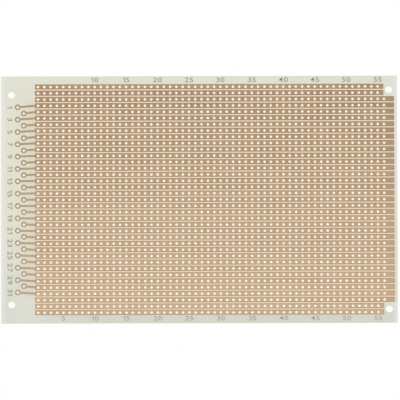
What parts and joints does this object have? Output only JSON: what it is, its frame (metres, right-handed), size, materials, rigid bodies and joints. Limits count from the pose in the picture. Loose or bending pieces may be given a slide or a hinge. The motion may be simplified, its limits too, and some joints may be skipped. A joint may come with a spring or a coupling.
{
  "type": "prototype circuit board",
  "caption": "Flat glass-epoxy card with long drilled copper strips on one side, staggered connector pads with tracks at one end, and fixing holes near the corners.",
  "frame": {"origin": "middle of the board's underside", "axes": "+X along the copper strips, from the connector end to the front end; +Y across the strips, towards the first strip and pin 1; +Z out of the copper side"},
  "size_m": [0.16, 0.1, 0.0015],
  "materials": {
    "glass_epoxy": "satin glass-epoxy laminate with a faint weave",
    "copper": "etched copper foil under a thin solderable lacquer, slightly dulled"
  },
  "bodies": {
    "root": {"laminate": "glass_epoxy", "copper_strip_01": "copper", "copper_strip_02": "copper", "copper_strip_03": "copper", "copper_strip_04": "copper", "copper_strip_05": "copper", "copper_strip_06": "copper", "copper_strip_07": "copper", "copper_strip_08": "copper", "copper_strip_09": "copper", "copper_strip_10": "copper", "copper_strip_11": "copper", "copper_strip_12": "copper", "copper_strip_13": "copper", "copper_strip_14": "copper", "copper_strip_15": "copper", "copper_strip_16": "copper", "copper_strip_17": "copper", "copper_strip_18": "copper", "copper_strip_19": "copper", "copper_strip_20": "copper", "copper_strip_21": "copper", "copper_strip_22": "copper", "copper_strip_23": "copper", "copper_strip_24": "copper", "copper_strip_25": "copper", "copper_strip_26": "copper", "copper_strip_27": "copper", "copper_strip_28": "copper", "copper_strip_29": "copper", "copper_strip_30": "copper", "copper_strip_31": "copper", "copper_strip_32": "copper", "copper_strip_33": "copper", "copper_strip_34": "copper", "copper_strip_35": "copper", "copper_strip_36": "copper", "copper_strip_37": "copper"}
  },
  "joints": []
}
